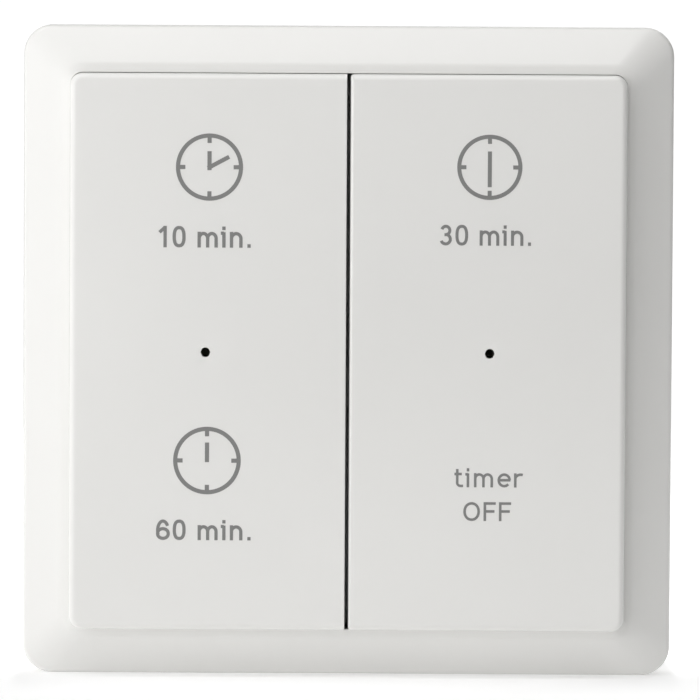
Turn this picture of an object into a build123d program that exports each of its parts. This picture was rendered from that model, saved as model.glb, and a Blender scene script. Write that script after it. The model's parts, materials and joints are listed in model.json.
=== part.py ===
from build123d import *
from math import cos, radians, tan
import os

# Battery-powered radio timer for room ventilation, screwed flat to a wall.
# Two rocker keys stand side by side in a square cover frame. Pressing the upper or the lower
# half of a key tilts it about its middle, and a foot behind that half pushes a small switch.
#
# Everything is drawn in bench coordinates, in millimetres: x to the right, y up and z out of
# the wall, with z = 0 on the wall. place() then stands each piece upright, with +Z up and the
# keys facing -Y. The origin is the centre of the wall side, midway between the wall screws.

os.makedirs("parts", exist_ok=True)

# Drawing: how far a cut runs past what it cuts, and how near an edge lies to its depth
OVERSHOOT = 1.0
EDGE_TOLERANCE = 0.001

# Cover frame
FRAME_SIZE = 80.0
FRAME_CORNER = 3.6
FRAME_WALL = 1.8
FRAME_STANDOFF = 0.2
BAND_WIDTH = 4.7
BAND_SLOPE = 32.0
BAND_INNER_CORNER = 2.7
LIP_WIDTH = 1.05
LIP_ROUND = 0.1
LIP_CREST_ROUND = 0.6
EDGE_ROUND = 0.5
COLLAR_WALL = 1.65
LEDGE_WIDTH = 2.05
LEDGE_THICKNESS = 1.2
GUSSET_PITCH = 40.0
GUSSET_THICKNESS = 1.2
GUSSET_STANDOFF = 0.6

# Rocker keys
ROCKER_GAP = 0.45
ROCKER_CLEARANCE = 0.15
ROCKER_PROUD = 2.6
ROCKER_FACE = 1.6
ROCKER_SKIRT = 1.2
ROCKER_CORNER = 1.55
ROCKER_EDGE_ROUND = 0.8
ROCKER_GAP_ROUND = 0.3
ROCKER_TILT = 1.9
TILT_CLEARANCE = 0.28
ROCKER_RIB = 0.9
ROCKER_RIB_HEIGHT = 1.0
ROCKER_RIB_SPACING = 12.0
ROCKER_RIB_PITCH = 14.0
FOOT_RADIUS = 1.6
FOOT_LENGTH = 1.75
FOOT_CLEARANCE = 0.05
FOOT_EDGE = 0.6

# Bearings of the keys
PIVOT_HEIGHT = 2.0
PIN_RADIUS = 1.15
PIN_CLEARANCE = 0.05
BEARING_SPACING = 21.0
EAR_THICKNESS = 1.6
EAR_WIDTH = 5.2
EAR_TAPER = 0.5
EAR_ABOVE_BORE = 0.5
EAR_MOUTH = 1.9
CHEEK_GAP = 0.4
CHEEK_THICKNESS = 1.6
CHEEK_WIDTH = 8.0
CHEEK_ROUND = 1.6

# Indicator lamps and their light guides
LAMP_SPACING = 34.8
LAMP_HOLE_RADIUS = 0.6
LED_LENGTH = 2.0
LED_WIDTH = 1.25
LED_HEIGHT = 0.6
LED_LENS_LENGTH = 1.2
LED_LENS_WIDTH = 1.0
LED_AIR = 0.1
LED_POCKET_RADIUS = 1.5
LED_POCKET_CLEARANCE = 0.2
GUIDE_RADIUS = 1.1
GUIDE_CLEARANCE = 0.05
GUIDE_COLLAR_RADIUS = 1.6
GUIDE_COLLAR_HEIGHT = 0.6
GUIDE_TIP_GAP = 0.3
GUIDE_TIP_EDGE = 0.4
BOSS_HEIGHT = 2.4
BOSS_WALL = 0.9

# Carrier plate
CARRIER_CLEARANCE = 0.75
CARRIER_CORNER = 1.2
CARRIER_THICKNESS = 1.2
CARRIER_RIB = 1.0
CARRIER_RIB_HEIGHT = 0.7
CARRIER_RIB_REACH = 11.0
WINDOW_CLEARANCE = 0.5

# Push switches
SWITCH_OFFSET = 15.0
SWITCH_SIZE = 6.0
SWITCH_FLOOR = 0.6
SWITCH_COVER = 0.2
SWITCH_EDGE = 0.4
COVER_TAB_WIDTH = 2.4
COVER_TAB_LENGTH = 1.4
PLUNGER_RADIUS = 1.75
PLUNGER_CLEARANCE = 0.08
PLUNGER_FLANGE_RADIUS = 2.3
PLUNGER_FLANGE = 0.6
PLUNGER_STANDOUT = 1.0
PLUNGER_STOP = 0.4
FLANGE_CLEARANCE = 0.15
DOME_SHEET = 0.3
DOME_TOP_RADIUS = 1.0
DOME_GAP = 0.02

# Circuit board and the parts on its rear side
BOARD_THICKNESS = 1.0
BOARD_MARGIN = 1.5
BOARD_CORNER = 1.0
BOARD_NOTCH_CLEARANCE = 0.7
CONTROL_CHIP = (7.0, 7.0, 1.1)
RADIO_CHIP = (5.0, 5.0, 0.9)
CRYSTAL = (3.2, 2.5, 0.7)
SMALL_CHIP = (1.6, 0.8, 0.5)
CHIP_EDGE = 0.1
CHIP_ROW = 13.0
CHIP_ROW_GAP = 1.0
CHIP_GAP = 3.0
SMALL_CHIP_PITCH = 2.6
SMALL_CHIPS_PER_ROW = 7
ANTENNA_THICKNESS = 0.8
ANTENNA_BEND = 2.0
ANTENNA_INSET = 6.5
ANTENNA_TOP_INSET = 4.5
ANTENNA_END_INSET = 9.0
ANTENNA_DROP = 1.4
ANTENNA_POST = 1.1
ANTENNA_POST_INSET = 3.0

# Coin cell and its contacts
CELL_RADIUS = 10.0
CELL_THICKNESS = 3.2
CELL_CAP_RADIUS = 8.8
CELL_CAP_HEIGHT = 0.4
CELL_EDGE = 0.4
CELL_DROP = 7.0
CELL_CLEARANCE = 0.5
CELL_NOSE = 0.4
CELL_NOSE_OVERLAP = 0.7
CELL_NOSE_WIDTH = 3.0
WELL_GAP = 0.9
WELL_WALL = 1.0
WELL_MOUTH_MARGIN = 6.0
CONTACT_SPACE = 0.4
CONTACT_SHEET = 0.25
CONTACT_GRIP_GAP = 0.02
CONTACT_ABOVE_EDGE = 0.4
CONTACT_SPAN = 34.0
CONTACT_FOOT = 3.0
CONTACT_STRIP_LENGTH = 12.0
CONTACT_STRIP_WIDTH = 4.0
CONTACT_DIMPLE_RADIUS = 1.3
PRISE_SLOT_RADIUS = 3.5
PRISE_SLOT_DEPTH = 0.6

# Rear shell of the module
SHELL_GAP = 0.4
SHELL_WALL = 1.5
SHELL_FLOOR = 1.0
SHELL_CORNER = 3.0
SHELL_RIB = 1.5
SHELL_RIB_SPREAD = 16.0
SHELL_RIB_OVERLAP = 0.7
SCREW_BOSS_RADIUS = 2.5
SCREW_INSET = 2.2
SCREW_RADIUS = 1.0
SCREW_PILOT_CLEARANCE = 0.05
SCREW_HOLE_CLEARANCE = 0.2
SCREW_LENGTH = 4.6
SCREW_HEAD_RADIUS = 2.0
SCREW_HEAD_HEIGHT = 0.9
SCREW_TIP_CLEARANCE = 0.3
SCREW_RECESS = 0.4
SCREW_RECESS_WIDTH = 0.5
SCREW_RECESS_REACH = 1.2

# Wall plate
PLATE_THICKNESS = 2.0
PLATE_MARGIN = 2.2
PLATE_CORNER = 3.0
PLATE_RIM_WALL = 1.0
PLATE_RIM_HEIGHT = 1.6
PLATE_WINDOW_RADIUS = 21.0
LOCATING_CLEARANCE = 0.1
SLOT_EDGE = 6.0
SLOT_WIDTH = 4.0
SLOT_LENGTH = 7.0
SLOT_RECESS_WIDTH = 6.6
SLOT_RECESS_DEPTH = 1.0
LATCH_PITCH = 36.0
LATCH_WIDTH = 6.0
LATCH_WALL = 1.2
LATCH_CLEARANCE = 0.35
LATCH_LEDGE_GAP = 0.45
LATCH_TOP_GAP = 0.3
LATCH_NOSE = 0.85
LATCH_NOSE_HEIGHT = 1.3
LATCH_WINDOW_CLEARANCE = 0.4
LATCH_WINDOW_ABOVE = 0.2
LATCH_WINDOW_BELOW = 0.05

# Depths, from the wall outwards
shell_rear = PLATE_THICKNESS + SHELL_GAP
shell_floor_top = shell_rear + SHELL_FLOOR
cell_rear = shell_rear + CELL_NOSE
cell_front = cell_rear + CELL_THICKNESS
board_rear = cell_front + CONTACT_SPACE
board_front = board_rear + BOARD_THICKNESS
carrier_front = board_front + CARRIER_THICKNESS
ledge_rear = board_front - LEDGE_THICKNESS
travel = SWITCH_OFFSET * tan(radians(ROCKER_TILT))
cavity_rear = board_front + SWITCH_FLOOR
cavity_front = cavity_rear + PLUNGER_FLANGE + 2 * (travel + PLUNGER_STOP)
flange_rear = cavity_rear + travel + PLUNGER_STOP
plunger_front = cavity_front + SWITCH_COVER + PLUNGER_STANDOUT
foot_rear = plunger_front + FOOT_CLEARANCE
key_inner = foot_rear + FOOT_LENGTH
key_front = key_inner + ROCKER_FACE
lip_front = key_front - ROCKER_PROUD
band_rise = BAND_WIDTH * tan(radians(BAND_SLOPE))
band_edge = lip_front - band_rise
pivot_z = carrier_front + PIVOT_HEIGHT
boss_front = carrier_front + BOSS_HEIGHT
guide_tip = key_inner - GUIDE_TIP_GAP
screw_tip = carrier_front - SCREW_LENGTH
antenna_z = board_rear - ANTENNA_DROP

# Half widths, from the outside inwards
frame_half = FRAME_SIZE / 2
wall_inner = frame_half - FRAME_WALL
lip_half = frame_half - BAND_WIDTH
opening_half = lip_half - LIP_WIDTH
opening_corner = ROCKER_CORNER + ROCKER_CLEARANCE
collar_half = opening_half + COLLAR_WALL
field_half = opening_half - ROCKER_CLEARANCE
ledge_half = opening_half - LEDGE_WIDTH
carrier_half = opening_half - CARRIER_CLEARANCE
plate_half = wall_inner - PLATE_MARGIN
latch_outer = ledge_half - LATCH_LEDGE_GAP
latch_inner = latch_outer - LATCH_WALL
shell_half = latch_inner - LATCH_CLEARANCE
shell_inner = shell_half - SHELL_WALL
board_half = shell_inner - BOARD_MARGIN
screw_xy = shell_inner - SCREW_INSET
slot_xy = plate_half - SLOT_EDGE
antenna_x = board_half - ANTENNA_INSET
antenna_y = board_half - ANTENNA_TOP_INSET
antenna_end = ANTENNA_END_INSET - board_half
key_width = field_half - ROCKER_GAP / 2
key_x = (field_half + ROCKER_GAP / 2) / 2
skirt_rear = carrier_front + field_half * tan(radians(ROCKER_TILT)) + TILT_CLEARANCE

SIDES = {"left": -1, "right": 1}
HALVES = {"upper": 1, "lower": -1}
QUARTER_TURNS = (0, 90, 180, 270)
SCREW_TURNS = (90, 270)


def place(shape):
    """Stand a piece drawn in bench coordinates upright, its front facing -Y."""
    return Plane.XZ.location * shape


def save(shape, name):
    """Write one piece as its own file."""
    export_step(place(shape), f"parts/{name}.step")


def slab(size_x, size_y, corner, z0, z1):
    """Plate with rounded corners, centred on the axis, from z0 to z1."""
    return extrude(Pos(0, 0, z0) * RectangleRounded(size_x, size_y, corner), z1 - z0)


def square(half, corner, z0, z1):
    """Square plate with rounded corners, given by its half width."""
    return slab(2 * half, 2 * half, corner, z0, z1)


def taper(half0, corner0, z0, half1, corner1, z1):
    """Four flat slopes with rounded corners between two squares at two depths."""
    low = Pos(0, 0, z0) * RectangleRounded(2 * half0, 2 * half0, corner0)
    high = Pos(0, 0, z1) * RectangleRounded(2 * half1, 2 * half1, corner1)
    return loft([low, high], ruled=True)


def block(x0, x1, y0, y1, z0, z1):
    """Rectangular block between two corners."""
    centre = Pos((x0 + x1) / 2, (y0 + y1) / 2, (z0 + z1) / 2)
    return centre * Box(x1 - x0, y1 - y0, z1 - z0)


def peg(x, y, radius, z0, z1):
    """Round peg or drill that points out of the wall."""
    return Pos(x, y, (z0 + z1) / 2) * Cylinder(radius, z1 - z0)


def edges_at(shape, z):
    """Edges that lie flat at one depth."""
    return shape.edges().filter_by_position(Axis.Z, z - EDGE_TOLERANCE, z + EDGE_TOLERANCE)


def reach(edge):
    """How far an edge's middle lies from the axis, measured square to the sides."""
    middle = edge.position_at(0.5)
    return max(abs(middle.X), abs(middle.Y))


def cover_frame():
    """Side wall, sloping band and rounded lip, with a collar and the ledge that holds it down."""
    side = square(frame_half, FRAME_CORNER, FRAME_STANDOFF, band_edge)
    band = taper(frame_half, FRAME_CORNER, band_edge, lip_half, BAND_INNER_CORNER, lip_front)
    body = side + band
    body = fillet(edges_at(body, band_edge), EDGE_ROUND)
    body = fillet(edges_at(body, lip_front), LIP_CREST_ROUND)
    body -= square(opening_half, opening_corner, board_front, lip_front + OVERSHOOT)
    crest_run = LIP_CREST_ROUND * tan(radians(BAND_SLOPE / 2))
    lip_round = min(LIP_ROUND, 0.95 * (LIP_WIDTH - crest_run))
    inner_edges = [e for e in edges_at(body, lip_front) if reach(e) < opening_half + EDGE_TOLERANCE]
    body = fillet(inner_edges, lip_round)
    body -= square(ledge_half, opening_corner, ledge_rear - OVERSHOOT, board_front + OVERSHOOT)
    wall_corner = FRAME_CORNER - FRAME_WALL
    body -= square(wall_inner, wall_corner, FRAME_STANDOFF - OVERSHOOT, ledge_rear)
    body -= channel(wall_corner)
    for turn in QUARTER_TURNS:
        for y in (-GUSSET_PITCH / 2, GUSSET_PITCH / 2):
            body += Rot(0, 0, turn) * gusset(y)
    return body


def roof(half):
    """Depth of the band's rear side, one wall thickness under its front."""
    slope = radians(BAND_SLOPE)
    return band_edge + (frame_half - half) * tan(slope) - FRAME_WALL / cos(slope)


def channel(corner):
    """Hollow between the frame's side wall and its collar, under the sloping band."""
    top_half = (wall_inner + 2 * collar_half) / 3
    hollow = square(wall_inner, corner, ledge_rear - OVERSHOOT, roof(wall_inner))
    hollow += taper(wall_inner, corner, roof(wall_inner), top_half, corner, roof(top_half))
    collar_rear = ledge_rear - 2 * OVERSHOOT
    return hollow - square(collar_half, opening_corner + COLLAR_WALL, collar_rear, lip_front)


def gusset(y):
    """Rib inside the frame's wall that stiffens it and locates it on the wall plate."""
    foot = plate_half + LOCATING_CLEARANCE
    low = FRAME_STANDOFF + GUSSET_STANDOFF
    buried = FRAME_WALL / 4
    top = roof(wall_inner) + buried
    outline = Polyline(
        (foot, low),
        (wall_inner + buried, low),
        (wall_inner + buried, top),
        (collar_half - buried, top),
        (collar_half - buried, ledge_rear),
        (foot, ledge_rear),
        close=True,
    )
    rib = make_face(Plane.XZ * outline)
    return Pos(0, y + GUSSET_THICKNESS / 2, 0) * extrude(rib, GUSSET_THICKNESS)


def latch_arm():
    """Springy arm on the plate whose nose snaps into a window of the rear shell."""
    top = ledge_rear - LATCH_TOP_GAP
    nose = top - LATCH_NOSE_HEIGHT
    outline = Polyline(
        (latch_outer, PLATE_THICKNESS / 2),
        (latch_outer, top),
        (latch_inner + LATCH_WALL / 3, top),
        (latch_inner - LATCH_NOSE, nose + LATCH_NOSE_HEIGHT / 3),
        (latch_inner - LATCH_NOSE, nose),
        (latch_inner, nose),
        (latch_inner, PLATE_THICKNESS / 2),
        close=True,
    )
    arm = extrude(make_face(Plane.XZ * outline), LATCH_WIDTH)
    return Pos(0, LATCH_WIDTH / 2, 0) * arm


def screw_slot():
    """Slot for a wall screw with a countersunk mouth, along x."""
    slot = Pos(0, 0, -OVERSHOOT) * SlotOverall(SLOT_LENGTH, SLOT_WIDTH)
    slot = extrude(slot, PLATE_THICKNESS + 2 * OVERSHOOT)
    wider = SLOT_RECESS_WIDTH - SLOT_WIDTH
    low = Pos(0, 0, PLATE_THICKNESS - SLOT_RECESS_DEPTH) * SlotOverall(SLOT_LENGTH, SLOT_WIDTH)
    high = Pos(0, 0, PLATE_THICKNESS) * SlotOverall(SLOT_LENGTH + wider, SLOT_RECESS_WIDTH)
    return slot + loft([low, high], ruled=True)


def wall_plate():
    """Plate that stays on the wall: rim, window over the wiring box, screw slots and latch arms."""
    rim_top = PLATE_THICKNESS + PLATE_RIM_HEIGHT
    inner_half = plate_half - PLATE_RIM_WALL
    plate = square(plate_half, PLATE_CORNER, 0, rim_top)
    plate -= square(inner_half, PLATE_CORNER - PLATE_RIM_WALL, PLATE_THICKNESS, rim_top + OVERSHOOT)
    plate -= peg(0, 0, PLATE_WINDOW_RADIUS, -OVERSHOOT, rim_top)
    for turn in QUARTER_TURNS:
        plate -= Rot(0, 0, turn) * Pos(slot_xy, 0, 0) * screw_slot()
    for turn in (0, 180):
        for y in (-LATCH_PITCH / 2, LATCH_PITCH / 2):
            plate += Rot(0, 0, turn) * Pos(0, y, 0) * latch_arm()
    return plate


def rear_shell():
    """Tray that holds the board, with a well for the cell and a boss at two corners."""
    shell = square(shell_half, SHELL_CORNER, shell_rear, board_front)
    hollow_corner = SHELL_CORNER - SHELL_WALL
    shell -= square(shell_inner, hollow_corner, shell_floor_top, board_front + OVERSHOOT)
    pilot = SCREW_RADIUS + SCREW_PILOT_CLEARANCE
    for x, y in screw_spots():
        shell += peg(x, y, SCREW_BOSS_RADIUS, shell_floor_top - SHELL_FLOOR / 2, board_front)
        shell -= peg(x, y, pilot, screw_tip - SCREW_TIP_CLEARANCE, board_front + OVERSHOOT)
    shell += board_ribs()
    shell += cell_well()
    shell += antenna_posts()
    shell -= peg(0, -CELL_DROP, CELL_RADIUS + CELL_CLEARANCE, shell_rear - OVERSHOOT, shell_floor_top)
    prise_y = -CELL_DROP - CELL_RADIUS - CELL_CLEARANCE
    shell -= peg(0, prise_y, PRISE_SLOT_RADIUS, shell_rear - OVERSHOOT, shell_rear + PRISE_SLOT_DEPTH)
    shell += cell_noses()
    return shell - latch_windows()


def board_ribs():
    """Ribs on the tray's walls that the board lies on."""
    ribs = []
    inner = board_half - SHELL_RIB_OVERLAP
    for turn in QUARTER_TURNS:
        for y in (-SHELL_RIB_SPREAD / 2, SHELL_RIB_SPREAD / 2):
            y0 = y - SHELL_RIB / 2
            rib = block(inner, shell_inner + SHELL_WALL / 2, y0, y0 + SHELL_RIB,
                        shell_floor_top - SHELL_FLOOR / 2, board_rear)
            ribs.append(Rot(0, 0, turn) * rib)
    return ribs


def cell_well():
    """Ring wall round the cell, left open where the side contact reaches in."""
    inner = CELL_RADIUS + WELL_GAP
    low = shell_floor_top - SHELL_FLOOR / 2
    high = cell_front - CELL_CAP_HEIGHT
    ring = peg(0, 0, inner + WELL_WALL, low, high)
    ring -= peg(0, 0, inner, low - OVERSHOOT, high + OVERSHOOT)
    mouth_x = inner + WELL_WALL + OVERSHOOT
    mouth_y = mouth_x * tan(radians(CONTACT_SPAN / 2 + WELL_MOUTH_MARGIN))
    mouth = block(0, mouth_x, -mouth_y, mouth_y, shell_floor_top, high + OVERSHOOT)
    return Pos(0, -CELL_DROP, 0) * (ring - mouth)


def cell_noses():
    """Three noses at the well's mouth that keep the cell from falling out."""
    noses = []
    outer = CELL_RADIUS + CELL_CLEARANCE + SHELL_FLOOR
    inner = CELL_RADIUS - CELL_NOSE_OVERLAP
    ring = peg(0, 0, outer, shell_rear, cell_rear)
    ring -= peg(0, 0, inner, shell_rear - OVERSHOOT, cell_rear + OVERSHOOT)
    half = CELL_NOSE_WIDTH / 2
    for turn in (90, 210, 330):
        strip = block(0, outer + OVERSHOOT, -half, half, shell_rear - OVERSHOOT, cell_rear + OVERSHOOT)
        noses.append(Pos(0, -CELL_DROP, 0) * Rot(0, 0, turn) * (ring & strip))
    return noses


def latch_windows():
    """Windows in the tray's side walls that the wall plate's noses snap into."""
    top = ledge_rear - LATCH_TOP_GAP
    low = top - LATCH_NOSE_HEIGHT - LATCH_WINDOW_BELOW
    high = top + LATCH_WINDOW_ABOVE
    half = LATCH_WIDTH / 2 + LATCH_WINDOW_CLEARANCE
    cuts = []
    for turn in (0, 180):
        for y in (-LATCH_PITCH / 2, LATCH_PITCH / 2):
            cut = block(shell_inner - OVERSHOOT, shell_half + OVERSHOOT, y - half, y + half, low, high)
            cuts.append(Rot(0, 0, turn) * cut)
    return cuts


def circuit_board():
    """Square board with two corners cut out round the screw bosses."""
    board = square(board_half, BOARD_CORNER, board_rear, board_front)
    notch = screw_xy - SCREW_BOSS_RADIUS - BOARD_NOTCH_CLEARANCE
    far = board_half + OVERSHOOT
    low = board_rear - OVERSHOOT
    high = board_front + OVERSHOOT
    for turn in SCREW_TURNS:
        board -= Rot(0, 0, turn) * block(notch, far, notch, far, low, high)
    return board


def chip(size, x, y):
    """Flat chip on the board's rear side, with its upper edges broken."""
    length, width, height = size
    body = block(x - length / 2, x + length / 2, y - width / 2, y + width / 2,
                 board_rear - height, board_rear)
    return chamfer(edges_at(body, board_rear - height), CHIP_EDGE)


def chip_components():
    """Resistors and capacitors in two rows below the chips."""
    parts = []
    first = -(SMALL_CHIPS_PER_ROW - 1) / 2 * SMALL_CHIP_PITCH
    offset = CONTROL_CHIP[1] / 2 + CHIP_ROW_GAP + SMALL_CHIP[1] / 2
    for row in (CHIP_ROW - offset, CHIP_ROW + offset):
        for i in range(SMALL_CHIPS_PER_ROW):
            parts.append(chip(SMALL_CHIP, first + i * SMALL_CHIP_PITCH, row))
    return Compound(parts)


def antenna_wire():
    """Bent square wire that stands off the board and lies on its posts."""
    path = FilletPolyline(
        (antenna_x, antenna_y, board_rear),
        (antenna_x, antenna_y, antenna_z),
        (-antenna_x, antenna_y, antenna_z),
        (-antenna_x, antenna_end, antenna_z),
        radius=[ANTENNA_DROP / 2, ANTENNA_BEND],
    )
    start = Plane(path @ 0, x_dir=(1, 0, 0), z_dir=path % 0)
    return sweep(start * Rectangle(ANTENNA_THICKNESS, ANTENNA_THICKNESS), path=path)


def antenna_posts():
    """Posts on the tray's floor that carry the wire."""
    top = antenna_z - ANTENNA_THICKNESS / 2
    low = shell_floor_top - SHELL_FLOOR / 2
    end = antenna_end + ANTENNA_POST_INSET
    spots = [(-antenna_x, end), (-antenna_x, antenna_y / 3), (-antenna_x / 3, antenna_y)]
    return [peg(x, y, ANTENNA_POST, low, top) for x, y in spots]


def coin_cell():
    """Lithium cell: a can with a crimped edge and a smaller cap that faces the board."""
    can_front = cell_front - CELL_CAP_HEIGHT
    outline = Polyline(
        (0, cell_rear),
        (CELL_RADIUS - CELL_EDGE, cell_rear),
        (CELL_RADIUS, cell_rear + CELL_EDGE),
        (CELL_RADIUS, can_front - CELL_EDGE),
        (CELL_RADIUS - CELL_EDGE, can_front),
        (CELL_CAP_RADIUS, can_front),
        (CELL_CAP_RADIUS, cell_front),
        (0, cell_front),
        close=True,
    )
    return Pos(0, -CELL_DROP, 0) * revolve(make_face(Plane.XZ * outline), Axis.Z)


def positive_contact():
    """Curved spring that grips the can's side, with a foot soldered to the board."""
    inner = CELL_RADIUS + CONTACT_GRIP_GAP
    outer = inner + CONTACT_SHEET
    high = cell_front - CELL_CAP_HEIGHT
    low = cell_rear + CELL_EDGE + CONTACT_ABOVE_EDGE
    ring = peg(0, 0, outer, low, board_rear)
    ring -= peg(0, 0, inner, low - OVERSHOOT, board_rear + OVERSHOOT)
    half = CELL_RADIUS * tan(radians(CONTACT_SPAN / 2))
    foot_half = CONTACT_FOOT / 2
    strip = block(0, outer + OVERSHOOT, -half, half, low - OVERSHOOT, high)
    leg = block(0, outer + OVERSHOOT, -foot_half, foot_half, low - OVERSHOOT, board_rear)
    foot = block(inner, outer + CONTACT_FOOT, -foot_half, foot_half, board_rear - CONTACT_SHEET, board_rear)
    return Pos(0, -CELL_DROP, 0) * ((ring & (strip + leg)) + foot)


def negative_contact():
    """Flat strip on the board with a dimple that presses on the cell's cap."""
    half = CONTACT_STRIP_WIDTH / 2
    sheet_rear = board_rear - CONTACT_SHEET
    strip = block(-CONTACT_STRIP_LENGTH / 2, CONTACT_STRIP_LENGTH / 2, -half, half, sheet_rear, board_rear)
    dimple = peg(0, 0, CONTACT_DIMPLE_RADIUS, cell_front, sheet_rear)
    return Pos(0, -CELL_DROP, 0) * (strip + dimple)


def screw_head_cone(clearance):
    """Countersunk head, or with a clearance the seat that it lies in."""
    low = Pos(0, 0, carrier_front - SCREW_HEAD_HEIGHT) * Circle(SCREW_RADIUS + clearance)
    high = Pos(0, 0, carrier_front) * Circle(SCREW_HEAD_RADIUS + clearance)
    return loft([low, high], ruled=True)


def housing_screw():
    """Countersunk screw with a cross recess."""
    screw = screw_head_cone(0) + peg(0, 0, SCREW_RADIUS, screw_tip, carrier_front - SCREW_HEAD_HEIGHT)
    arm = SCREW_RECESS_REACH
    half = SCREW_RECESS_WIDTH / 2
    low = carrier_front - SCREW_RECESS
    high = carrier_front + OVERSHOOT
    screw -= block(-arm, arm, -half, half, low, high)
    screw -= block(-half, half, -arm, arm, low, high)
    return screw


def screw_spots():
    """The two places of the housing screws, in opposite corners."""
    return [(-screw_xy, screw_xy), (screw_xy, -screw_xy)]


def bearing_ear(x):
    """Ear with an open-topped bore that a pin of the key snaps into."""
    bore = PIN_RADIUS + PIN_CLEARANCE
    top = pivot_z + bore + EAR_ABOVE_BORE
    half = EAR_WIDTH / 2
    low = carrier_front - CARRIER_THICKNESS / 2
    top_half = half - EAR_TAPER
    profile = make_face(Polyline((-half, low), (half, low), (top_half, top), (-top_half, top), close=True))
    profile -= Pos(0, pivot_z) * Circle(bore)
    mouth = EAR_MOUTH / 2
    flare = mouth + EAR_ABOVE_BORE / 2
    mouth_outline = Polyline(
        (-mouth, pivot_z),
        (mouth, pivot_z),
        (mouth, top - EAR_ABOVE_BORE / 2),
        (flare, top),
        (flare, top + OVERSHOOT),
        (-flare, top + OVERSHOOT),
        (-flare, top),
        (-mouth, top - EAR_ABOVE_BORE / 2),
        close=True,
    )
    profile -= make_face(mouth_outline)
    ear = extrude(Plane.YZ * profile, EAR_THICKNESS)
    return Pos(x - EAR_THICKNESS / 2, 0, 0) * ear


def lamp_x(side):
    """Where a key's lamp stands."""
    return side * LAMP_SPACING / 2


def carrier_plate():
    """Front plate of the module: bearings, switch windows, light guide bosses and screw seats."""
    plate = square(carrier_half, CARRIER_CORNER, board_front, carrier_front)
    middle = carrier_front - CARRIER_THICKNESS / 2
    rib_top = carrier_front + CARRIER_RIB_HEIGHT
    rib = CARRIER_RIB / 2
    for side in SIDES.values():
        for edge in (-1, 1):
            x = side * key_x + edge * BEARING_SPACING / 2
            plate += bearing_ear(x)
            for end in (-1, 1):
                y0, y1 = sorted((end * (EAR_WIDTH / 2 - rib), end * CARRIER_RIB_REACH))
                plate += block(x - rib, x + rib, y0, y1, middle, rib_top)
    window = SWITCH_SIZE / 2 + WINDOW_CLEARANCE
    low = board_front - OVERSHOOT
    high = carrier_front + OVERSHOOT
    for side in SIDES.values():
        for half in HALVES.values():
            x = side * key_x
            y = half * SWITCH_OFFSET
            plate -= block(x - window, x + window, y - window, y + window, low, high)
    bore = GUIDE_RADIUS + GUIDE_CLEARANCE
    for side in SIDES.values():
        x = lamp_x(side)
        plate += peg(x, 0, bore + BOSS_WALL, middle, boss_front)
        plate -= peg(x, 0, bore, low, boss_front + OVERSHOOT)
        plate -= peg(x, 0, LED_POCKET_RADIUS, low, board_front + LED_HEIGHT + LED_POCKET_CLEARANCE)
    for x, y in screw_spots():
        plate -= peg(x, y, SCREW_RADIUS + SCREW_HOLE_CLEARANCE, low, high)
        plate -= Pos(x, y, 0) * screw_head_cone(SCREW_HOLE_CLEARANCE / 4)
    return plate


def light_guide(side):
    """Clear peg that carries the lamp's light to the hole in the key."""
    low = board_front + LED_HEIGHT + LED_AIR
    guide = peg(0, 0, GUIDE_RADIUS, low, guide_tip)
    guide = chamfer(edges_at(guide, guide_tip), GUIDE_TIP_EDGE)
    guide += peg(0, 0, GUIDE_COLLAR_RADIUS, boss_front, boss_front + GUIDE_COLLAR_HEIGHT)
    return Pos(lamp_x(side), 0, 0) * guide


def led(side):
    """Small surface-mounted lamp with a moulded lens."""
    base_top = board_front + LED_HEIGHT / 2
    half_x = LED_LENGTH / 2
    half_y = LED_WIDTH / 2
    lamp = block(-half_x, half_x, -half_y, half_y, board_front, base_top)
    lens_x = LED_LENS_LENGTH / 2
    lens_y = LED_LENS_WIDTH / 2
    lamp += block(-lens_x, lens_x, -lens_y, lens_y, board_front, board_front + LED_HEIGHT)
    return Pos(lamp_x(side), 0, 0) * lamp


def switch_body():
    """Moulded base of a push switch with a round cavity."""
    half = SWITCH_SIZE / 2
    body = block(-half, half, -half, half, board_front, cavity_front)
    body = chamfer(body.edges().filter_by(Axis.Z), SWITCH_EDGE)
    return body - peg(0, 0, PLUNGER_FLANGE_RADIUS + FLANGE_CLEARANCE, cavity_rear, cavity_front + OVERSHOOT)


def switch_cover():
    """Steel sheet cover with two tabs bent down its sides."""
    half = SWITCH_SIZE / 2
    front = cavity_front + SWITCH_COVER
    sheet = block(-half, half, -half, half, cavity_front, front)
    sheet = chamfer(sheet.edges().filter_by(Axis.Z), SWITCH_EDGE)
    tab = COVER_TAB_WIDTH / 2
    for side in (-1, 1):
        y0, y1 = sorted((side * half, side * (half + SWITCH_COVER)))
        sheet += block(-tab, tab, y0, y1, cavity_front - COVER_TAB_LENGTH, front)
    hole = PLUNGER_RADIUS + PLUNGER_CLEARANCE
    return sheet - peg(0, 0, hole, cavity_front - OVERSHOOT, front + OVERSHOOT)


def switch_dome():
    """Rubber dome that carries the plunger and pushes it back."""
    top = flange_rear - DOME_GAP
    base = PLUNGER_FLANGE_RADIUS
    outline = Polyline(
        (DOME_TOP_RADIUS, top),
        (base, cavity_rear),
        (base - DOME_SHEET, cavity_rear),
        (DOME_TOP_RADIUS, top - DOME_SHEET),
        (0, top - DOME_SHEET),
        (0, top),
        close=True,
    )
    return revolve(make_face(Plane.XZ * outline), Axis.Z)


def switch_plunger():
    """Plunger with the flange that keeps it in the switch."""
    plunger = peg(0, 0, PLUNGER_FLANGE_RADIUS, flange_rear, flange_rear + PLUNGER_FLANGE)
    return plunger + peg(0, 0, PLUNGER_RADIUS, flange_rear, plunger_front)


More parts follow.
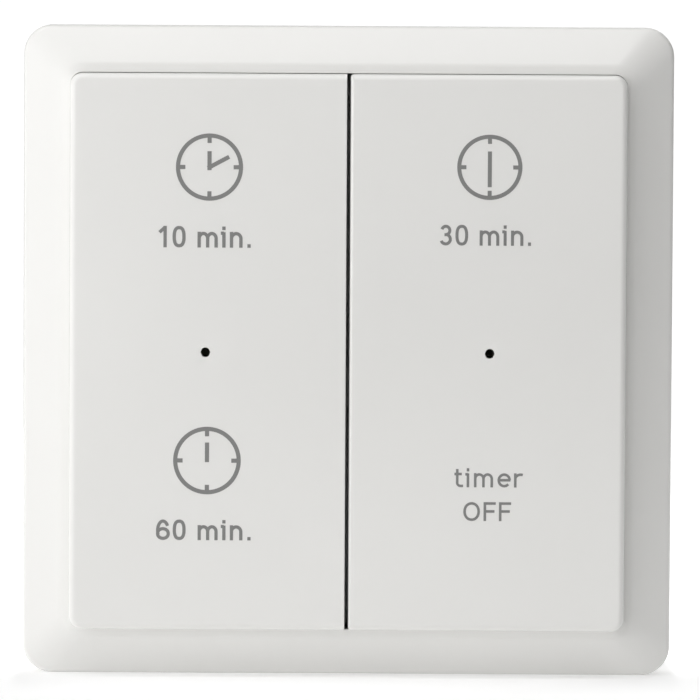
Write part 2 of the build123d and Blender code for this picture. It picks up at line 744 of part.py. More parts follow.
def rocker_shell(side):
    """Face and skirt of a key. Its edges are round outside and tight along the middle gap."""
    outline = Pos(side * key_x, 0, 0) * Rectangle(key_width, 2 * field_half)
    corners = outline.vertices().sort_by(Axis.X)
    outline = fillet(corners[-2:] if side > 0 else corners[:2], ROCKER_CORNER)
    shell = extrude(Pos(0, 0, skirt_rear) * outline, key_front - skirt_rear)
    gap_x = ROCKER_GAP / 2
    front_edges = [
        e for e in edges_at(shell, key_front)
        if abs(e.position_at(0.5).X) > gap_x + EDGE_TOLERANCE
    ]
    shell = fillet(front_edges, ROCKER_EDGE_ROUND)
    gap_edges = [
        e for e in shell.edges()
        if max(abs(abs(e.position_at(t).X) - gap_x) for t in (0.1, 0.5, 0.9)) < EDGE_TOLERANCE
        and e.position_at(0.5).Z > skirt_rear + EDGE_TOLERANCE
    ]
    shell = fillet(gap_edges, ROCKER_GAP_ROUND)
    inside_x = key_width - 2 * ROCKER_SKIRT
    inside_y = 2 * (field_half - ROCKER_SKIRT)
    inside = slab(inside_x, inside_y, ROCKER_GAP_ROUND, skirt_rear - OVERSHOOT, key_inner)
    return shell - Pos(side * key_x, 0, 0) * inside


def rocker_ribs(side):
    """Grid of low ribs that keeps the face flat."""
    ribs = []
    low = key_inner - ROCKER_RIB_HEIGHT
    high = key_inner + ROCKER_FACE / 3
    half = ROCKER_RIB / 2
    reach_y = field_half - ROCKER_SKIRT / 2
    reach_x = key_width / 2 - ROCKER_SKIRT / 2
    for edge in (-1, 1):
        x = side * key_x + edge * ROCKER_RIB_SPACING / 2
        ribs.append(block(x - half, x + half, -reach_y, reach_y, low, high))
    for i in (-3, -1, 1, 3):
        y = i * ROCKER_RIB_PITCH / 2
        ribs.append(block(side * key_x - reach_x, side * key_x + reach_x, y - half, y + half, low, high))
    return ribs


def cheek(x, inward):
    """Cheek of a key with the pin that turns in the carrier's ear."""
    half = CHEEK_WIDTH / 2
    high = key_inner + ROCKER_FACE / 3
    profile = make_face(
        Polyline((-half, high), (-CHEEK_ROUND, pivot_z), (CHEEK_ROUND, pivot_z), (half, high), close=True))
    profile += Pos(0, pivot_z) * Circle(CHEEK_ROUND)
    plate = Pos(x - CHEEK_THICKNESS / 2, 0, 0) * extrude(Plane.YZ * profile, CHEEK_THICKNESS)
    pin_length = CHEEK_GAP + EAR_THICKNESS + CHEEK_GAP
    pin = Rot(0, 90, 0) * Cylinder(PIN_RADIUS, pin_length + CHEEK_THICKNESS)
    return plate + Pos(x + inward * pin_length / 2, 0, pivot_z) * pin


def rocker(side):
    """Key with its ribs, bearing cheeks, feet and lamp hole."""
    key = rocker_shell(side)
    key += rocker_ribs(side)
    cheek_offset = BEARING_SPACING / 2 + EAR_THICKNESS / 2 + CHEEK_GAP + CHEEK_THICKNESS / 2
    for edge in (-1, 1):
        key += cheek(side * key_x + edge * cheek_offset, -edge)
    for half in HALVES.values():
        foot = peg(side * key_x, half * SWITCH_OFFSET, FOOT_RADIUS, foot_rear, key_inner + ROCKER_FACE / 3)
        key += chamfer(edges_at(foot, foot_rear), FOOT_EDGE)
    return key - peg(lamp_x(side), 0, LAMP_HOLE_RADIUS, skirt_rear, key_front + OVERSHOOT)


save(wall_plate(), "wall_plate")
save(cover_frame(), "cover_frame")
save(rear_shell(), "rear_shell")
save(carrier_plate(), "carrier_plate")
save(Compound([Pos(x, y, 0) * housing_screw() for x, y in screw_spots()]), "housing_screws")
save(circuit_board(), "circuit_board")
save(chip(CONTROL_CHIP, -CHIP_GAP - CONTROL_CHIP[0] / 2, CHIP_ROW), "control_chip")
save(chip(RADIO_CHIP, CHIP_GAP, CHIP_ROW), "radio_chip")
save(chip(CRYSTAL, 2 * CHIP_GAP + RADIO_CHIP[0] / 2, CHIP_ROW), "crystal")
save(chip_components(), "chip_components")
save(antenna_wire(), "antenna_wire")
save(coin_cell(), "coin_cell")
save(positive_contact(), "positive_contact")
save(negative_contact(), "negative_contact")

for side_name, side in SIDES.items():
    save(rocker(side), f"{side_name}_rocker")
    save(light_guide(side), f"{side_name}_light_guide")
    save(led(side), f"{side_name}_led")
    for half_name, half in HALVES.items():
        spot = Pos(side * key_x, half * SWITCH_OFFSET, 0)
        save(spot * switch_body(), f"{side_name}_{half_name}_switch_body")
        save(spot * switch_cover(), f"{side_name}_{half_name}_switch_cover")
        save(spot * switch_dome(), f"{side_name}_{half_name}_switch_dome")
        save(spot * switch_plunger(), f"{side_name}_{half_name}_plunger")

print("depth", round(key_front, 3), "key field", 2 * field_half, "screw pitch", 2 * slot_xy)
print("pivot depth", round(pivot_z, 3), "travel", round(travel, 4), "key centre", round(key_x, 4))
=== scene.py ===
# %% [markdown]
# # A two-key wall timer, dressed for its photograph
# The timer is a square white device: a sloping cover frame, two tall rocker keys side by side, and
# behind them a module that clips on to a plate on the wall. Its measured model is loaded first and
# never moves. It has the right sizes but faceted roundings. Two ways were open: refine a copy of
# those facets, or work out the three outside pieces afresh as smooth surfaces. The second was
# chosen, because every rounding then has as many steps as its gloss needs.

import json
from math import cos, pi, radians, sin, tan

import bpy
import numpy as np
from mathutils import Matrix, Vector


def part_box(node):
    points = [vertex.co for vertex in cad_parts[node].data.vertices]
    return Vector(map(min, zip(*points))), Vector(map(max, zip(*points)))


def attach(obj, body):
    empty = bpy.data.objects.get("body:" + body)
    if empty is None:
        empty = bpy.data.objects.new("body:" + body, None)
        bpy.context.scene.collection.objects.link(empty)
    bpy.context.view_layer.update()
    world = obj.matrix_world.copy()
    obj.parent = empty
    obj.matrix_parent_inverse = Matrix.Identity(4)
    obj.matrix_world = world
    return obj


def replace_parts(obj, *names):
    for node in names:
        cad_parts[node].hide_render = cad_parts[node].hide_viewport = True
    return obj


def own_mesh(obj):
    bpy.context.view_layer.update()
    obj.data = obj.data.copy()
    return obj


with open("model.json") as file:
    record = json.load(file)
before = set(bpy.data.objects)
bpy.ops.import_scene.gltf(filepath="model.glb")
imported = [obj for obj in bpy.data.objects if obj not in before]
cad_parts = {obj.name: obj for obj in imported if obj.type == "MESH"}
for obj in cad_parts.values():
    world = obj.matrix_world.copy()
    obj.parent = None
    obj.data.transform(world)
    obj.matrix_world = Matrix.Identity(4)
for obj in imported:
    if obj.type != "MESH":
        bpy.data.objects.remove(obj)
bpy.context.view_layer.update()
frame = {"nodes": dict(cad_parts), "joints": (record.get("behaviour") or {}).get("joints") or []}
joints = {joint["name"]: joint for joint in frame["joints"]}

# %% [markdown]
# ## Bench coordinates
# A maker draws such a device lying on the bench: x to the right, y up the face, z out of the wall,
# in millimetres. All shapes here are worked out that way. One function stands them upright in
# metres, with the keys facing -Y. It is a quarter turn, so faces that point outwards stay so.

# %% From the bench to the wall
MM = 0.001


def stand(points):
    """Quarter turn about x: (x, y, z) on the bench becomes (x, -z, y) on the wall, in metres."""
    points = np.asarray(points, float)
    return np.stack([points[..., 0], -points[..., 2], points[..., 1]], axis=-1) * MM


def bench_box(node):
    """Lowest and highest corner of a measured piece, turned back to the bench, in millimetres."""
    low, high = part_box(node)
    return (low.x / MM, low.z / MM, -high.y / MM), (high.x / MM, high.z / MM, -low.y / MM)


for node in ("cover_frame", "right_rocker"):
    print(node, "on the bench:", *np.round(bench_box(node), 3))

# %% [markdown]
# ## Camera
# The photograph is a front view from seventy centimetres with a long lens. Its lines give the place of the
# camera: the frame's sides come together a little downwards, so the camera looks from three degrees above,
# and the device is turned by a third of a degree. The camera is set by those measures and not by eye.

# %% Camera
CAMERA_AZIMUTH = 0.01
CAMERA_ELEVATION = 2.96
CAMERA_ROLL = 0.319
CAMERA_DISTANCE = 0.7
CAMERA_LENS = 292.98
CAMERA_CLIP = 20.0
CAMERA_AIM = Vector((0.295, -12.0, 0.23)) * MM


def aim_camera():
    """Stand the camera at its azimuth and elevation round the aim, then roll it about its axis."""
    azimuth, elevation = radians(CAMERA_AZIMUTH), radians(CAMERA_ELEVATION)
    back = Vector((sin(azimuth) * cos(elevation), -cos(azimuth) * cos(elevation), sin(elevation)))
    right = Vector((cos(azimuth), sin(azimuth), 0))
    axes = Matrix((right, back.cross(right), back)).transposed()
    axes = axes @ Matrix.Rotation(radians(CAMERA_ROLL), 3, "Z")
    data = bpy.data.cameras.new("photo_camera")
    data.lens = CAMERA_LENS
    data.clip_end = CAMERA_CLIP
    camera = bpy.data.objects.new("photo_camera", data)
    bpy.context.scene.collection.objects.link(camera)
    camera.matrix_world = Matrix.Translation(CAMERA_AIM + back * CAMERA_DISTANCE) @ axes.to_4x4()
    bpy.context.scene.camera = camera
    return camera


camera = aim_camera()
print("camera", [round(v, 4) for v in camera.location], "lens", CAMERA_LENS)

# %% [markdown]
# ## Surfaces from grids
# A moulded part is mostly loops stacked on each other. If the loops are rows of a grid, the faces
# follow from the row and column numbers alone, so the whole mesh is a few array operations. A
# modelling tool would extrude and bevel instead, but then the rounding is hard to steer along an
# edge. Each helper returns points and faces, and join() puts several of them in one mesh.

# %% Grid, extrusion and turning
def skin(rows, closed=False):
    """Faces between stacked loops: (row, column), next column, next row, each loop closed on itself.

    With closed=True the last loop joins the first, as in a frame. Otherwise both ends get a flat cap.
    """
    count, around = rows.shape[:2]
    index = np.arange(count * around).reshape(count, around)
    low = index if closed else index[:-1]
    high = np.roll(index, -1, axis=0) if closed else index[1:]
    quads = np.stack([low, np.roll(low, -1, axis=1), np.roll(high, -1, axis=1), high], axis=-1)
    faces = quads.reshape(-1, 4).tolist()
    if not closed:
        faces += [index[0, ::-1].tolist(), index[-1].tolist()]
    return rows.reshape(-1, 3), faces


def carried(outline, heights, turn=0):
    """A flat outline carried straight through the given heights.

    turn moves the axes round in a circle: 0 carries along z, 1 along x and 2 along y.
    """
    outline = np.asarray(outline, float)
    heights = np.asarray(heights, float)
    rows = np.empty((len(heights), len(outline), 3))
    rows[..., :2] = outline
    rows[..., 2] = heights[:, None]
    points, faces = skin(rows)
    return np.roll(points, turn, axis=1), faces


def turned(profile, x, y, around=32, turn=0):
    """A profile of (radius, height) swept in a circle about a line through (x, y)."""
    radius, height = np.asarray(profile, float).T
    angle = np.linspace(0, 2 * pi, around, endpoint=False)
    rows = np.stack([
        x + radius[:, None] * np.cos(angle),
        y + radius[:, None] * np.sin(angle),
        np.repeat(height[:, None], around, axis=1),
    ], axis=-1)
    points, faces = skin(rows)
    return np.roll(points, turn, axis=1), faces


def join(parts):
    """Points and faces of several shapes in one list, each shape's faces counted on from the last."""
    starts = np.cumsum([0] + [len(points) for points, _ in parts[:-1]])
    points = np.concatenate([points for points, _ in parts])
    faces = [[int(i + start) for i in face] for (_, own), start in zip(parts, starts) for face in own]
    return points, faces


# %% From shapes to a piece
def piece(name, parts, body, material, sharp=35):
    """Make one smooth mesh of the shapes, with its edges past the sharp angle kept crisp."""
    points, faces = join(parts)
    mesh = bpy.data.meshes.new(name)
    mesh.from_pydata(stand(points).tolist(), [], faces)
    mesh.validate()
    mesh.shade_smooth()
    mesh.set_sharp_from_angle(angle=radians(sharp))
    mesh.materials.append(material)
    made = bpy.data.objects.new(name, mesh)
    bpy.context.scene.collection.objects.link(made)
    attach(made, body)
    print(name, len(mesh.vertices), "points,", len(mesh.polygons), "faces")
    return made


def even_shading(made):
    """Let the large flat faces decide the shading where they meet a rounding."""
    modifier = made.modifiers.new("even_shading", "WEIGHTED_NORMAL")
    modifier.mode = "FACE_AREA"
    modifier.weight = 100
    modifier.keep_sharp = True
    return made


# %% [markdown]
# ## Rounded loops and rounded profiles
# Every outline on this device is a rectangle with round corners, and every section through it is
# a polygon with some corners eased. The first is four arcs joined by straight sides. The second
# uses a rational curve of second degree, which is a true arc when its middle weight is the cosine
# of half the turn, and which carries any further value, here the corner radius, along with it.

# %% Rounded loops
ARC_STEPS = 16
SIDE_PLACES = np.array([0.008, 0.06, 0.25, 0.5, 0.75, 0.94, 0.992])


def rounded_loops(x0, x1, y0, y1, radii):
    """Closed loops of four arcs and four sides, counter-clockwise from the lower right corner.

    Each side's place may be one value per loop. radii holds the arcs' half axes along x and y,
    one pair per corner: corner + radii * (cos a, sin a), with straight sides between the arcs.
    """
    x0, x1, y0, y1 = np.broadcast_arrays(*np.atleast_1d(x0, x1, y0, y1))
    corners = np.stack([np.stack([x1, x1, x0, x0], 1), np.stack([y0, y1, y1, y0], 1)], axis=-1)
    inward = np.array([[-1, 1], [-1, -1], [1, -1], [1, 1]])
    radii = np.broadcast_to(radii, corners.shape)
    centres = corners + inward * radii
    angle = np.linspace(0, pi / 2, ARC_STEPS + 1) + np.array([[-pi / 2], [0], [pi / 2], [pi]])
    swing = np.stack([np.cos(angle), np.sin(angle)], axis=-1)
    arcs = centres[:, :, None] + radii[:, :, None] * swing
    after = np.roll(arcs[:, :, 0], -1, axis=1)[:, :, None]
    sides = arcs[:, :, -1:] + SIDE_PLACES[:, None] * (after - arcs[:, :, -1:])
    return np.concatenate([arcs, sides], axis=2).reshape(len(corners), -1, 2)


print("points in each loop:", len(rounded_loops(-1, 1, -1, 1, 0.5)[0]))


# %% Eased polygons
def eased(corners, radii, steps=10):
    """A closed polygon with its corners rounded, as an array of points with all their values.

    Between the two touching points p and r of a corner q, the curve is
    ((1-s)^2 p + 2 w s (1-s) q + s^2 r) / ((1-s)^2 + 2 w s (1-s) + s^2), with w = cos(turn / 2).
    """
    corners = np.asarray(corners, float)
    radii = np.asarray(radii, float)
    before = np.roll(corners, 1, axis=0) - corners
    after = np.roll(corners, -1, axis=0) - corners
    run_in = np.linalg.norm(before[:, :2], axis=1)
    run_out = np.linalg.norm(after[:, :2], axis=1)
    cosine = (before[:, :2] * after[:, :2]).sum(1) / (run_in * run_out)
    half_turn = (pi - np.arccos(np.clip(cosine, -1, 1))) / 2
    trim = radii * np.tan(half_turn)
    first = corners + before * (trim / run_in)[:, None]
    last = corners + after * (trim / run_out)[:, None]
    s = np.linspace(0, 1, steps + 1)[None, :, None]
    start = (1 - s) ** 2
    middle = 2 * np.cos(half_turn)[:, None, None] * s * (1 - s)
    end = s ** 2
    curve = start * first[:, None] + middle * corners[:, None] + end * last[:, None]
    curve /= start + middle + end
    keep = (radii[:, None] > 0) | (np.arange(steps + 1)[None, :] == 0)
    return curve[keep]


# %% [markdown]
# ## Plain words for finishes
# All visible plastics come out of polished or sparked steel moulds. What tells them apart is how
# the mould was finished: gloss, a faint unevenness where thick and thin walls cooled, and a pitted
# grain on the hidden parts. One function makes them all. It could be a picture of the grain, but
# noise worked out from the object's own coordinates has no seams and needs no unwrapping. What is
# the same all over is set on the shader itself.

# %% Nodes that the finishes share
NOISE_MIDDLE = (0.3, 0.7)


def new_finish(name):
    """An empty material with its shader and a node that gives the object's own coordinates."""
    material = bpy.data.materials.new(name)
    material.use_nodes = True
    tree = material.node_tree
    shader = tree.nodes["Principled BSDF"]
    place = tree.nodes.new("ShaderNodeTexCoord")
    return material, tree, shader, place.outputs["Object"]


def noise(tree, place, size, detail=3.0, stretch=None):
    """Cloudy noise whose patches are about size millimetres wide, stretched along an axis if asked."""
    if stretch:
        mapping = tree.nodes.new("ShaderNodeMapping")
        mapping.inputs["Scale"].default_value = stretch
        tree.links.new(place, mapping.inputs["Vector"])
        place = mapping.outputs["Vector"]
    cloud = tree.nodes.new("ShaderNodeTexNoise")
    cloud.inputs["Scale"].default_value = 1 / (size * MM)
    cloud.inputs["Detail"].default_value = detail
    tree.links.new(place, cloud.inputs["Vector"])
    return cloud.outputs["Fac"]


def graded(tree, value, source, result, smooth=False):
    """A value brought from the source range to the result range, and held at both ends."""
    ramp = tree.nodes.new("ShaderNodeMapRange")
    for socket, number in zip(("From Min", "From Max", "To Min", "To Max"), (*source, *result)):
        ramp.inputs[socket].default_value = number
    if smooth:
        ramp.interpolation_type = "SMOOTHSTEP"
    tree.links.new(value, ramp.inputs["Value"])
    return ramp.outputs["Result"]


def spread(tree, value, low, high):
    """The middle of a noise spread over low to high."""
    return graded(tree, value, NOISE_MIDDLE, (low, high))


def blend_colours(tree, factor, first, second):
    """Two colours mixed by a factor."""
    mix = tree.nodes.new("ShaderNodeMix")
    mix.data_type = "RGBA"
    mix.inputs["A"].default_value = (*first, 1)
    mix.inputs["B"].default_value = (*second, 1)
    tree.links.new(factor, mix.inputs["Factor"])
    return mix.outputs["Result"]


def emboss(tree, shader, height, depth):
    """Bump from a height, depth in millimetres."""
    bump = tree.nodes.new("ShaderNodeBump")
    bump.inputs["Strength"].default_value = 1.0
    bump.inputs["Distance"].default_value = depth * MM
    tree.links.new(height, bump.inputs["Height"])
    tree.links.new(bump.outputs["Normal"], shader.inputs["Normal"])


# %% Moulded plastics
CLOUD_SIZE = 22.0
GLOSS_PATCH = 6.0
GLOSS_SWING = 0.08
PLASTIC_IOR = 1.5


def moulded(name, colour, roughness, mottle=0.015, pits=(0.3, 0.0006)):
    """Injection-moulded plastic: faint cooling clouds in colour and gloss, and the mould's own grain.

    pits gives the width and the depth of that grain in millimetres.
    """
    material, tree, shader, place = new_finish(name)
    clouds = spread(tree, noise(tree, place, CLOUD_SIZE, detail=2), 0, 1)
    darker = tuple(c * (1 - mottle) for c in colour)
    tree.links.new(blend_colours(tree, clouds, colour, darker), shader.inputs["Base Color"])
    patches = noise(tree, place, GLOSS_PATCH, detail=4)
    gloss = spread(tree, patches, roughness * (1 - GLOSS_SWING), roughness * (1 + GLOSS_SWING))
    tree.links.new(gloss, shader.inputs["Roughness"])
    emboss(tree, shader, noise(tree, place, pits[0], detail=2), pits[1])
    shader.inputs["IOR"].default_value = PLASTIC_IOR
    return material


WARM_WHITE = (0.80, 0.795, 0.775)
key_white = moulded("key_white", WARM_WHITE, 0.16, pits=(0.9, 0.0003))
frame_white = moulded("frame_white", WARM_WHITE, 0.24, pits=(0.6, 0.0006))
plate_white = moulded("plate_white", (0.74, 0.735, 0.71), 0.55, pits=(0.3, 0.006))
carrier_white = moulded("carrier_white", (0.72, 0.715, 0.70), 0.5, pits=(0.3, 0.005))
shell_grey = moulded("shell_grey", (0.60, 0.60, 0.59), 0.5, pits=(0.3, 0.006))
print("plastics:", [m.name for m in (key_white, frame_white, plate_white, carrier_white, shell_grey)])

# %% [markdown]
# ## Cover frame
# The frame is one moulding: a straight side wall, a band that slopes up by some 30 degrees and runs
# softly into a narrow lip, and a collar that dips behind the keys to the ledge which holds the
# module. Extruding a square and bevelling it would do, but the corner radius changes from the
# outside to the opening. So the frame is one closed section carried round rounded squares, and the
# section says at every point how far out it lies, how deep, and how round its loop is at the
# corners. The opening is as narrow as the tilting keys allow. Eight ribs stiffen the frame inside.

# %% Sizes of the cover frame
FRAME_CORNER = 3.6
FRAME_WALL = 1.8
BAND_WIDTH = 4.7
BAND_SLOPE = 32.0
BAND_INNER_CORNER = 2.7
LIP_WIDTH = 1.12
LIP_SLOPE = 14.0
OPENING_CORNER = 1.6
COLLAR_WALL = 1.72
LEDGE_WIDTH = 1.98
LEDGE_THICKNESS = 1.2
EDGE_ROUND = 0.9
CREST_ROUND = 2.2
LIP_ROUND = 0.04
SMALL_EASE = 0.15
GUSSET_PITCH = 40.0
GUSSET_THICKNESS = 1.2
GUSSET_LOW = 0.8
GUSSET_FOOT = 36.1

frame_low, frame_high = bench_box("cover_frame")
ledge_front = bench_box("carrier_plate")[0][2]
frame_half = frame_high[0]
frame_rear = frame_low[2]
lip_front = frame_high[2]
lip_half = frame_half - BAND_WIDTH
band_edge = lip_front - BAND_WIDTH * tan(radians(BAND_SLOPE))
crest = lip_front - LIP_WIDTH * tan(radians(LIP_SLOPE))
opening_half = lip_half - LIP_WIDTH
ledge_half = opening_half - LEDGE_WIDTH
ledge_rear = ledge_front - LEDGE_THICKNESS
collar_half = opening_half + COLLAR_WALL
wall_inner = frame_half - FRAME_WALL
roof_half = (wall_inner + 2 * collar_half) / 3
print("lip", round(lip_half, 3), "to", round(opening_half, 3), "ledge to", round(ledge_half, 3))


# %% Section and shell of the frame
def roof(half):
    """Depth of the band's rear side, one wall thickness under its front."""
    slope = radians(BAND_SLOPE)
    return band_edge + (frame_half - half) * tan(slope) - FRAME_WALL / cos(slope)


def frame_section():
    """The frame's section as (half width, depth, corner radius, easing), from the rear edge round."""
    inner_corner = FRAME_CORNER - FRAME_WALL
    table = np.array([
        (frame_half, frame_rear, FRAME_CORNER, SMALL_EASE),
        (frame_half, band_edge, FRAME_CORNER, EDGE_ROUND),
        (lip_half, crest, BAND_INNER_CORNER, CREST_ROUND),
        (opening_half, lip_front, OPENING_CORNER, LIP_ROUND),
        (opening_half, ledge_front, OPENING_CORNER, 0),
        (ledge_half, ledge_front, OPENING_CORNER, SMALL_EASE),
        (ledge_half, ledge_rear, OPENING_CORNER, SMALL_EASE),
        (collar_half, ledge_rear, OPENING_CORNER + COLLAR_WALL, SMALL_EASE),
        (collar_half, roof(roof_half), OPENING_CORNER + COLLAR_WALL, 0),
        (roof_half, roof(roof_half), inner_corner, 0),
        (wall_inner, roof(wall_inner), inner_corner, 0),
        (wall_inner, frame_rear, inner_corner, SMALL_EASE),
    ])
    return eased(table[:, :3], table[:, 3])


def frame_shell():
    """Each point of the section becomes a rounded square loop at its depth."""
    half, depth, corner = frame_section().T
    flat = rounded_loops(-half, half, -half, half, corner[:, None, None])
    rows = np.concatenate([flat, np.broadcast_to(depth[:, None, None], flat.shape[:2] + (1,))], axis=2)
    return skin(rows, closed=True)


# %% Ribs, and the finished frame
def gussets():
    """Flat ribs between side wall and collar, drawn in (depth, half width) and carried along the side."""
    buried = FRAME_WALL / 4
    top = roof(wall_inner) + buried
    outline = [
        (GUSSET_LOW, GUSSET_FOOT),
        (GUSSET_LOW, wall_inner + buried),
        (top, wall_inner + buried),
        (top, collar_half - buried),
        (ledge_rear, collar_half - buried),
        (ledge_rear, GUSSET_FOOT),
    ]
    ribs = []
    for quarter in range(4):
        for place in (-GUSSET_PITCH / 2, GUSSET_PITCH / 2):
            heights = (place - GUSSET_THICKNESS / 2, place + GUSSET_THICKNESS / 2)
            points, faces = carried(outline, heights, turn=2)
            angle = quarter * pi / 2
            turn = np.array([[cos(angle), sin(angle), 0], [-sin(angle), cos(angle), 0], [0, 0, 1]])
            ribs.append((points @ turn, faces))
    return ribs


cover = piece("cover_frame_skin", [frame_shell(), *gussets()], "housing", frame_white)
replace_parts(even_shading(cover), "cover_frame")

# %% [markdown]
# ## Key shells
# A key is a shallow tray: a flat face, a skirt, and a small hole for the lamp. Its three outside
# edges are broken by a large rounding. Along the middle gap the left key is sharp and the right one
# has a small rounding that catches the light, so that both meet in a fine dark line beside a bright
# one. A bevel tool would give all edges one radius. Here the key is again a stack of loops, and
# each loop knows, point by point, which rounding it belongs to: the depth under the face is that
# rounding times (1 - sin a) while the loop shrinks by it times (1 - cos a). The skirt ends where it
# clears the carrier at full tilt.

# %% Sizes of a key
GAP_HALF = 0.225
KEY_CORNER = 1.55
KEY_ROUND = 0.8
GAP_ROUND = {"left": 0.06, "right": 0.42}
KEY_FACE = 1.6
KEY_SKIRT = 1.2
LAMP_X = 17.4
LAMP_HOLE = 0.6
LAMP_HOLE_EASE = 0.06
LAMP_RIM = 3 * LAMP_HOLE
PIVOT_HEIGHT = 2.0
TILT_CLEARANCE = 0.28

tilt = joints["left_rocker_tilt"]
pivot_z = -tilt["pos_m"][1] / MM
key_high = bench_box("right_rocker")[1]
key_outer = key_high[0]
key_front = key_high[2]
key_inner = key_front - KEY_FACE
key_middle = (GAP_HALF + key_outer) / 2
carrier_front = pivot_z - PIVOT_HEIGHT
skirt_rear = carrier_front + key_outer * tan(radians(tilt["range_deg"][1])) + TILT_CLEARANCE
print("pivot", round(pivot_z, 3), "skirt from", round(skirt_rear, 3), "to", round(key_front, 3))

# %% Loops and shell of a key
ROUND_STEPS = 12
HOLE_STEPS = 4
TIGHTEST = 0.02
FACE_MARGIN = 0.12


def gap_share():
    """How much each point of a loop belongs to the gap: 0 outside, 1 along it, eased in its corners."""
    step = np.linspace(0, 1, ARC_STEPS + 1)
    ease = step * step * (3 - 2 * step)
    outer = np.zeros(len(SIDE_PLACES))
    inner = np.ones(len(SIDE_PLACES))
    still = np.zeros(ARC_STEPS + 1)
    return np.concatenate([still, outer, still, outer, ease, inner, 1 - ease, outer])


def key_loops(gap_round, inset, gap_inset, extra=0.0):
    """Loops of the right key, each shrunk by its inset outside and by its gap inset along the gap."""
    outer = np.maximum(KEY_CORNER - inset - extra, TIGHTEST)
    along = np.maximum(gap_round - gap_inset - extra, TIGHTEST)
    across = np.maximum(gap_round - inset - extra, TIGHTEST)
    corner = np.stack([outer, outer], axis=-1)
    gap_corner = np.stack([along, across], axis=-1)
    radii = np.stack([corner, corner, gap_corner, gap_corner], axis=1)
    reach = key_outer - inset - extra
    return rounded_loops(GAP_HALF + gap_inset + extra, reach, -reach, reach, radii)


def key_shell(gap_round):
    """The right key from the skirt's rear edge over the face, down the lamp hole and back inside."""
    angle = np.linspace(0, pi / 2, ROUND_STEPS + 1)
    inset = KEY_ROUND * (1 - np.cos(angle))
    gap_inset = gap_round * (1 - np.cos(angle))
    rounding = KEY_ROUND + (gap_round - KEY_ROUND) * gap_share()
    flat = key_loops(gap_round, inset, gap_inset)
    depth = key_front - rounding * (1 - np.sin(angle))[:, None]
    edge = np.concatenate([flat, depth[..., None]], axis=2)

    def level(loop, height):
        """One loop at one height."""
        return np.concatenate([loop, np.full((len(loop), 1), height)], axis=1)[None]

    foot = level(flat[0], skirt_rear)
    face = key_loops(gap_round, np.array([KEY_ROUND]), np.array([gap_round]), FACE_MARGIN)[0]
    centre = np.array([LAMP_X, 0.0])
    ray = (face - centre) / np.linalg.norm(face - centre, axis=1, keepdims=True)
    ease = np.linspace(0, pi / 2, HOLE_STEPS + 1)
    hole = [level(centre + ray * (LAMP_HOLE + LAMP_HOLE_EASE * (1 - sin(a))),
                  key_front - LAMP_HOLE_EASE * (1 - cos(a))) for a in ease]
    wide = centre + ray * LAMP_RIM
    inside_x = (GAP_HALF + KEY_SKIRT, key_outer - KEY_SKIRT)
    reach = key_outer - KEY_SKIRT
    inside = rounded_loops(*inside_x, -reach, reach, gap_round)[0]
    rows = [
        foot, edge, level(face, key_front), level(wide, key_front), *hole,
        level(centre + ray * LAMP_HOLE, key_inner), level(wide, key_inner),
        level(inside, key_inner), level(inside, skirt_rear),
    ]
    return skin(np.concatenate(rows), closed=True)


# %% [markdown]
# ## Inside a key
# Behind the face a grid of low ribs keeps it flat, two cheeks carry the pins that turn in the
# carrier's bearings, and two feet press the switches. None of it shows while the timer hangs on
# the wall, but the key would be an empty tray without it when it is lifted off. All of these are
# plain outlines carried straight, or profiles turned about an axis, sunk a little into the face.

# %% Ribs
RIB_THICKNESS = 0.9
RIB_HEIGHT = 1.0
RIB_SPACING = 12.0
RIB_PITCH = 14.0

sunk = key_inner + KEY_FACE / 3


def rectangle(x0, x1, y0, y1):
    """Four corners, counter-clockwise."""
    return [(x0, y0), (x1, y0), (x1, y1), (x0, y1)]


def key_ribs():
    """Two long ribs and four across."""
    half = RIB_THICKNESS / 2
    heights = (key_inner - RIB_HEIGHT, sunk)
    long_reach = key_outer - KEY_SKIRT / 2
    side_reach = (key_outer - GAP_HALF - KEY_SKIRT) / 2
    ribs = []
    for x in (key_middle - RIB_SPACING / 2, key_middle + RIB_SPACING / 2):
        ribs.append(carried(rectangle(x - half, x + half, -long_reach, long_reach), heights))
    for y in RIB_PITCH * np.array([-1.5, -0.5, 0.5, 1.5]):
        outline = rectangle(key_middle - side_reach, key_middle + side_reach, y - half, y + half)
        ribs.append(carried(outline, heights))
    return ribs


# %% Cheeks with their pins
PIN_RADIUS = 1.15
BEARING_SPACING = 21.0
EAR_THICKNESS = 1.6
CHEEK_GAP = 0.4
CHEEK_THICKNESS = 1.6
CHEEK_WIDTH = 8.0
CHEEK_TIP = 1.6


def key_cheeks():
    """Tapered cheeks with a round tip, drawn in (y, z) and carried along x, and their pins."""
    parts = []
    offset = BEARING_SPACING / 2 + EAR_THICKNESS / 2 + CHEEK_GAP + CHEEK_THICKNESS / 2
    tip = np.linspace(pi, 2 * pi, ARC_STEPS + 1)
    round_tip = np.stack([CHEEK_TIP * np.cos(tip), pivot_z + CHEEK_TIP * np.sin(tip)], axis=1)
    outline = np.concatenate([round_tip, [(CHEEK_WIDTH / 2, sunk), (-CHEEK_WIDTH / 2, sunk)]])
    pin = 2 * CHEEK_GAP + EAR_THICKNESS
    for edge in (-1, 1):
        x = key_middle + edge * offset
        parts.append(carried(outline, (x - CHEEK_THICKNESS / 2, x + CHEEK_THICKNESS / 2), turn=1))
        ends = sorted((x, x - edge * (CHEEK_THICKNESS / 2 + pin)))
        parts.append(turned([(PIN_RADIUS, ends[0]), (PIN_RADIUS, ends[1])], 0, pivot_z, turn=1))
    return parts


# %% Feet, and both finished keys
SWITCH_OFFSET = 15.0
FOOT_RADIUS = 1.6
FOOT_EDGE = 0.6
FOOT_LENGTH = 1.75


